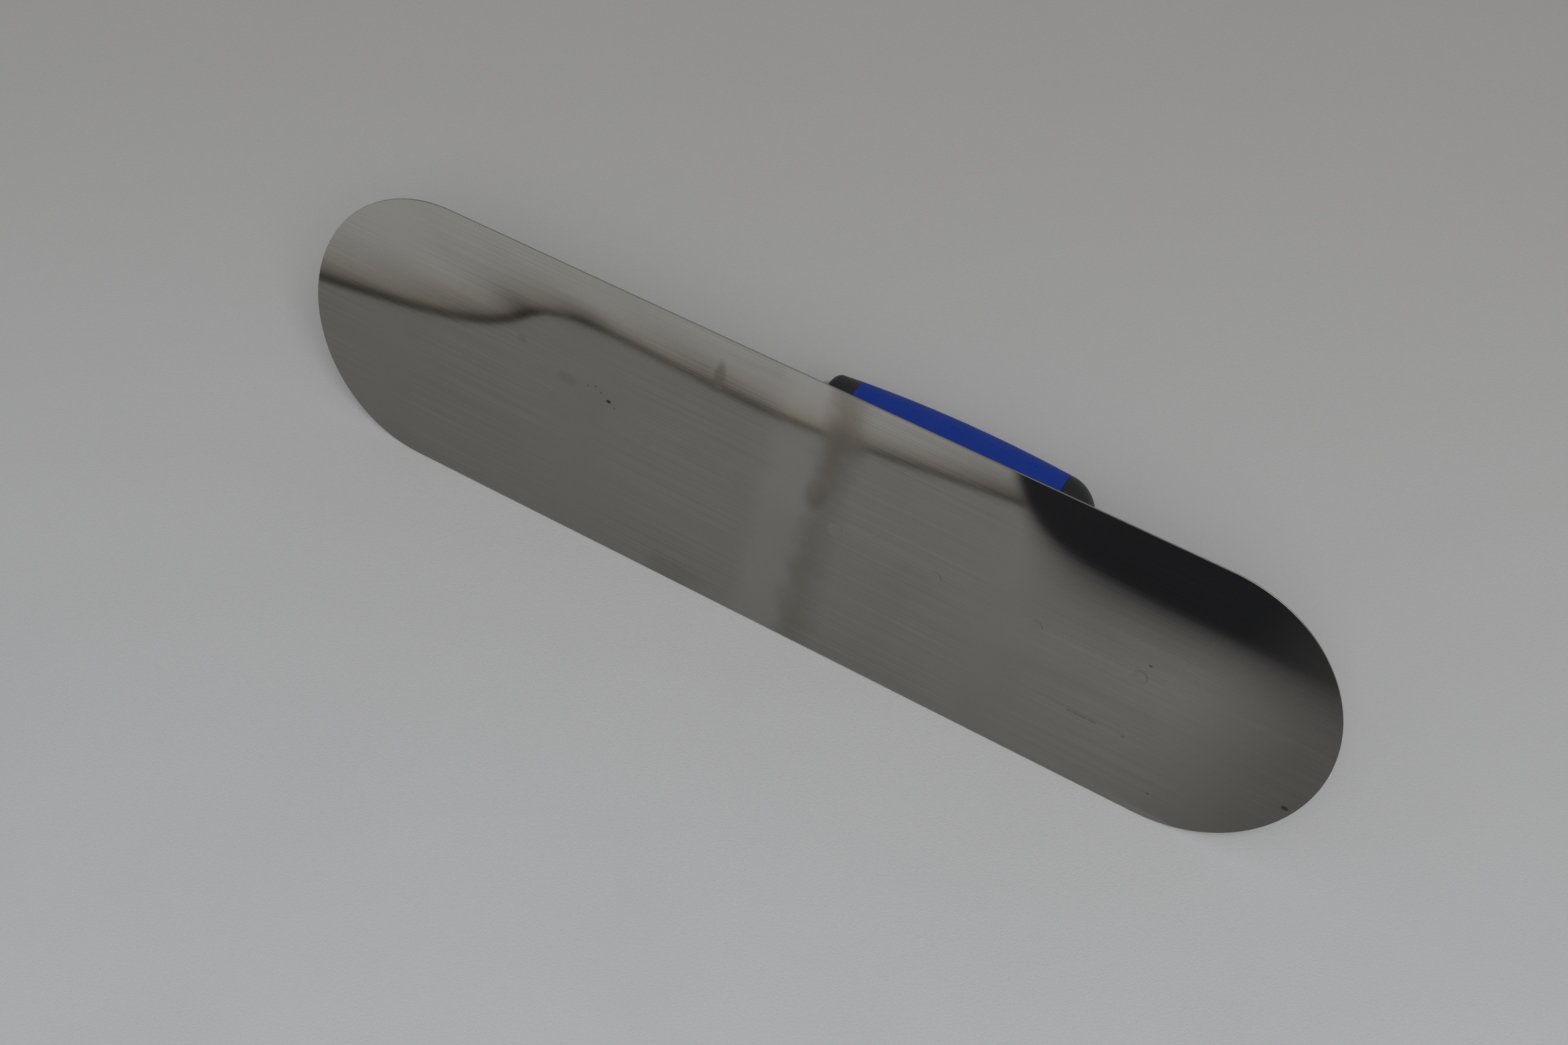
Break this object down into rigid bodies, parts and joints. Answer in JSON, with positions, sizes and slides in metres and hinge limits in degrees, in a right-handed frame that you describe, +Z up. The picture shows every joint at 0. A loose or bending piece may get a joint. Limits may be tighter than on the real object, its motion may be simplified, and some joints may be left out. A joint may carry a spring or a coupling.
{
  "type": "flexible finishing trowel",
  "caption": "Long thin flexible steel blade with two half-round ends, stiffened by a bar on its back, with a two-colour soft grip on a goose-neck shank.",
  "frame": {"origin": "on the floor, under the middle of the resting tool's box", "axes": "+X along the blade towards the grip's free end, +Z up, and the working face leans back and looks towards -Y and up"},
  "size_m": [0.4, 0.096, 0.0934],
  "materials": {
    "blade_steel": "mirror polished, with faint lengthwise brush lines",
    "bar_aluminium": "satin",
    "rivet_metal": "satin, flush end polished with the blade",
    "shank_cast": "fine cast, tumbled",
    "fastener_steel": "zinc plated",
    "grip_black": "matte moulded",
    "grip_blue": "fine satin moulded",
    "core_plastic": "as moulded"
  },
  "bodies": {
    "root": {"blade": "blade_steel", "mounting_bar": "bar_aluminium", "blade_rivets": "rivet_metal", "foot_rivets": "rivet_metal", "shank": "shank_cast", "front_ring": "grip_black", "grip_core": "core_plastic", "grip_sleeve": "grip_blue", "rear_cap": "grip_black", "tang_washer": "fastener_steel", "tang_nut": "fastener_steel"}
  },
  "joints": []
}
